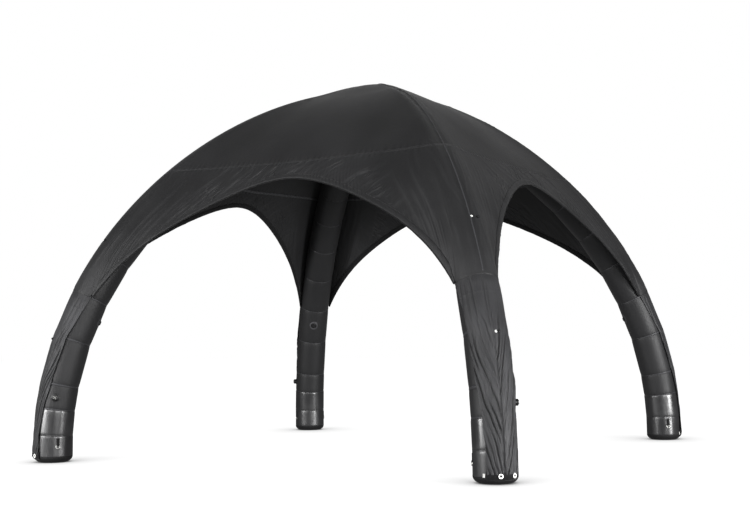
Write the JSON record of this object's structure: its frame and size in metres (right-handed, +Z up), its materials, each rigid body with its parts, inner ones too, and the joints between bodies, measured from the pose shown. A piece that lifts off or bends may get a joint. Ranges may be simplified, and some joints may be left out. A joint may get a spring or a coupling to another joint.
{
  "type": "inflatable dome tent",
  "caption": "Open-sided dome tent with arched air tubes on moulded boots, a crown hub, a stretched fabric roof with arched openings, and fabric covers down the legs.",
  "frame": {"origin": "on the ground, in the middle of the tent", "axes": "+Z up through the crown; the legs stand on the diagonals of X and Y; -Y and +X are the two openings seen in the picture"},
  "size_m": [4.5348, 4.5348, 3.4543],
  "materials": {
    "roof_fabric": "satin",
    "tube_fabric": "matte",
    "hem_webbing": "matte",
    "boot_vinyl": "gloss",
    "moulded_black": "satin",
    "steel": "satin"
  },
  "bodies": {
    "root": {"front_left_boot_foot": "boot_vinyl", "front_left_boot_cuff": "boot_vinyl", "front_left_tube": "tube_fabric", "front_left_cover": "roof_fabric", "front_left_inflation_valve": "moulded_black", "front_left_relief_valve": "moulded_black", "front_left_ground_ring_a": "steel", "front_left_ground_ring_b": "steel", "front_right_boot_foot": "boot_vinyl", "front_right_boot_cuff": "boot_vinyl", "front_right_tube": "tube_fabric", "front_right_cover": "roof_fabric", "front_right_inflation_valve": "moulded_black", "front_right_relief_valve": "moulded_black", "front_right_ground_ring_a": "steel", "front_right_ground_ring_b": "steel", "back_right_boot_foot": "boot_vinyl", "back_right_boot_cuff": "boot_vinyl", "back_right_tube": "tube_fabric", "back_right_cover": "roof_fabric", "back_right_inflation_valve": "moulded_black", "back_right_relief_valve": "moulded_black", "back_right_ground_ring_a": "steel", "back_right_ground_ring_b": "steel", "back_left_boot_foot": "boot_vinyl", "back_left_boot_cuff": "boot_vinyl", "back_left_tube": "tube_fabric", "back_left_cover": "roof_fabric", "back_left_inflation_valve": "moulded_black", "back_left_relief_valve": "moulded_black", "back_left_ground_ring_a": "steel", "back_left_ground_ring_b": "steel", "crown_hub": "tube_fabric", "roof_panel_front": "roof_fabric", "arch_hem_front": "hem_webbing", "roof_panel_right": "roof_fabric", "arch_hem_right": "hem_webbing", "roof_panel_back": "roof_fabric", "arch_hem_back": "hem_webbing", "roof_panel_left": "roof_fabric", "arch_hem_left": "hem_webbing"}
  },
  "joints": []
}
